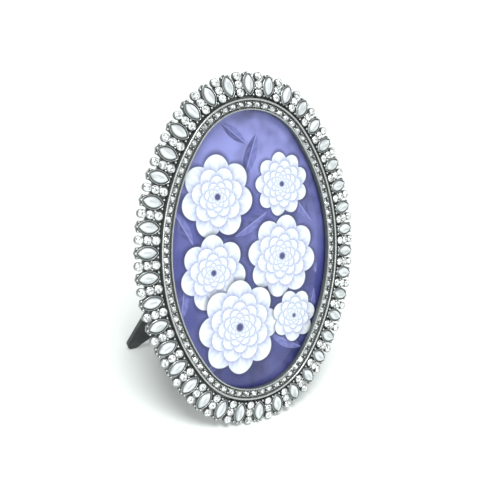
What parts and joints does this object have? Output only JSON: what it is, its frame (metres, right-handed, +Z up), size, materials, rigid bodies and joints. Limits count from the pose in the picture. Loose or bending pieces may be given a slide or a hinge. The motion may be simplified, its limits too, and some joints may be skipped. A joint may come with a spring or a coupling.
{
  "type": "oval picture frame",
  "caption": "Oval tabletop photo frame: a cast border set with marquise pearls and round crystals, a raised inner ring, a glazed print, and a folding velvet-covered easel leg.",
  "frame": {"origin": "bottom centre of the overall box, on the table that the open frame stands on", "axes": "+X to the right of a viewer in front, +Y towards the easel leg, +Z up"},
  "size_m": [0.1384, 0.0912, 0.1757],
  "materials": {
    "antique_silver": "antiqued silver-coloured zinc casting with dark recesses",
    "pearl": "satin white pearl",
    "crystal": "faceted clear crystal",
    "clear_glass": "clear float glass",
    "printed_paper": "satin photo paper",
    "velvet_board": "fibreboard flocked with black velvet",
    "plated_steel": "nickel-plated steel"
  },
  "bodies": {
    "frame": {"cast_frame": "antique_silver", "pearl_cabochons": "pearl", "outer_crystals": "crystal", "middle_crystals": "crystal", "inner_crystals": "crystal", "glass_pane": "clear_glass", "photo_print": "printed_paper", "back_board": "velvet_board", "hinge_back_leaf": "plated_steel", "hinge_pin": "plated_steel", "turn_button_screws": "plated_steel"},
    "leg": {"easel_leg": "velvet_board", "hinge_leg_leaf": "plated_steel"},
    "right_button": {"turn_button_right": "plated_steel"},
    "left_button": {"turn_button_left": "plated_steel"}
  },
  "joints": [
    {"name": "leg_hinge", "type": "hinge", "parent": "frame", "child": "leg", "pos_m": [0, 0.00768, 0.11903], "axis": [1, 0, 0], "range_deg": [-37.1, 0]},
    {"name": "right_button_swivel", "type": "hinge", "parent": "frame", "child": "right_button", "pos_m": [0.0556, -0.00628, 0.0858], "axis": [0, 0.9397, -0.342], "continuous": true},
    {"name": "left_button_swivel", "type": "hinge", "parent": "frame", "child": "left_button", "pos_m": [-0.0556, -0.00628, 0.0858], "axis": [0, 0.9397, -0.342], "continuous": true}
  ]
}
